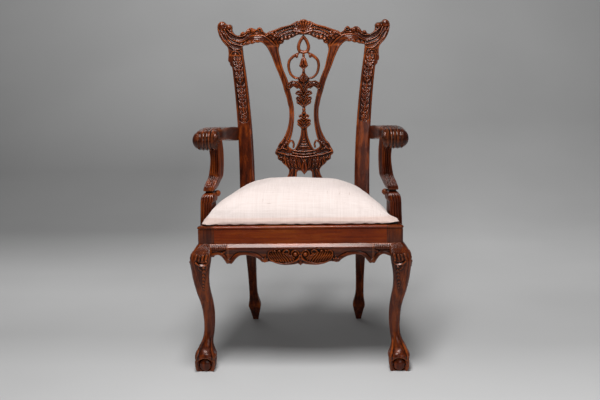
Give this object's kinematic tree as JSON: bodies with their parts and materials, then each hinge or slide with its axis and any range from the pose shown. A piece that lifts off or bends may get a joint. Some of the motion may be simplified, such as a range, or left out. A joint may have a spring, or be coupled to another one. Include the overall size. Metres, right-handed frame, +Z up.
{
  "type": "wooden armchair",
  "caption": "Carved dark wood open armchair with serpentine crest, pierced splat, rolled arms, cabriole ball-and-claw front legs and a pale drop-in seat.",
  "frame": {"origin": "on the floor, under the middle of the chair's box", "axes": "+Z up, the chair faces -Y, +X to the right of somebody who looks at its front"},
  "size_m": [0.66, 0.6308, 1.036],
  "materials": {
    "mahogany": "dark red-brown polished mahogany, glossy, nearly black in the carved recesses",
    "beech": "plain unpolished secondary wood",
    "screw_steel": "plain steel",
    "jute_webbing": "woven jute",
    "stuffing": "soft stuffing under the cover",
    "linen_cover": "matt cream linen with fine slubs",
    "dust_cloth": "thin black cambric"
  },
  "bodies": {
    "frame": {"front_left_leg": "mahogany", "front_right_leg": "mahogany", "rear_left_post": "mahogany", "rear_right_post": "mahogany", "crest_rail": "mahogany", "splat": "mahogany", "splat_shoe": "mahogany", "front_seat_rail": "mahogany", "back_seat_rail": "mahogany", "left_seat_rail": "mahogany", "right_seat_rail": "mahogany", "front_apron": "mahogany", "left_apron": "mahogany", "right_apron": "mahogany", "apron_dowels": "beech", "front_left_knee_bracket": "mahogany", "front_right_knee_bracket": "mahogany", "side_left_knee_bracket": "mahogany", "side_right_knee_bracket": "mahogany", "left_arm": "mahogany", "right_arm": "mahogany", "left_arm_support": "mahogany", "right_arm_support": "mahogany", "front_left_corner_block": "beech", "front_right_corner_block": "beech", "rear_left_corner_block": "beech", "rear_right_corner_block": "beech", "corner_block_screws": "screw_steel", "arm_support_screws": "screw_steel", "arm_pegs": "beech"},
    "drop_in_seat": {"seat_frame_front": "beech", "seat_frame_back": "beech", "seat_frame_left": "beech", "seat_frame_right": "beech", "seat_webbing": "jute_webbing", "webbing_tacks": "screw_steel", "seat_padding": "stuffing", "seat_cover": "linen_cover", "seat_dust_cover": "dust_cloth"}
  },
  "joints": [
    {"name": "seat_lift", "type": "slide", "parent": "frame", "child": "drop_in_seat", "axis": [0, 0, 1], "range_m": [0, 0.045]}
  ]
}
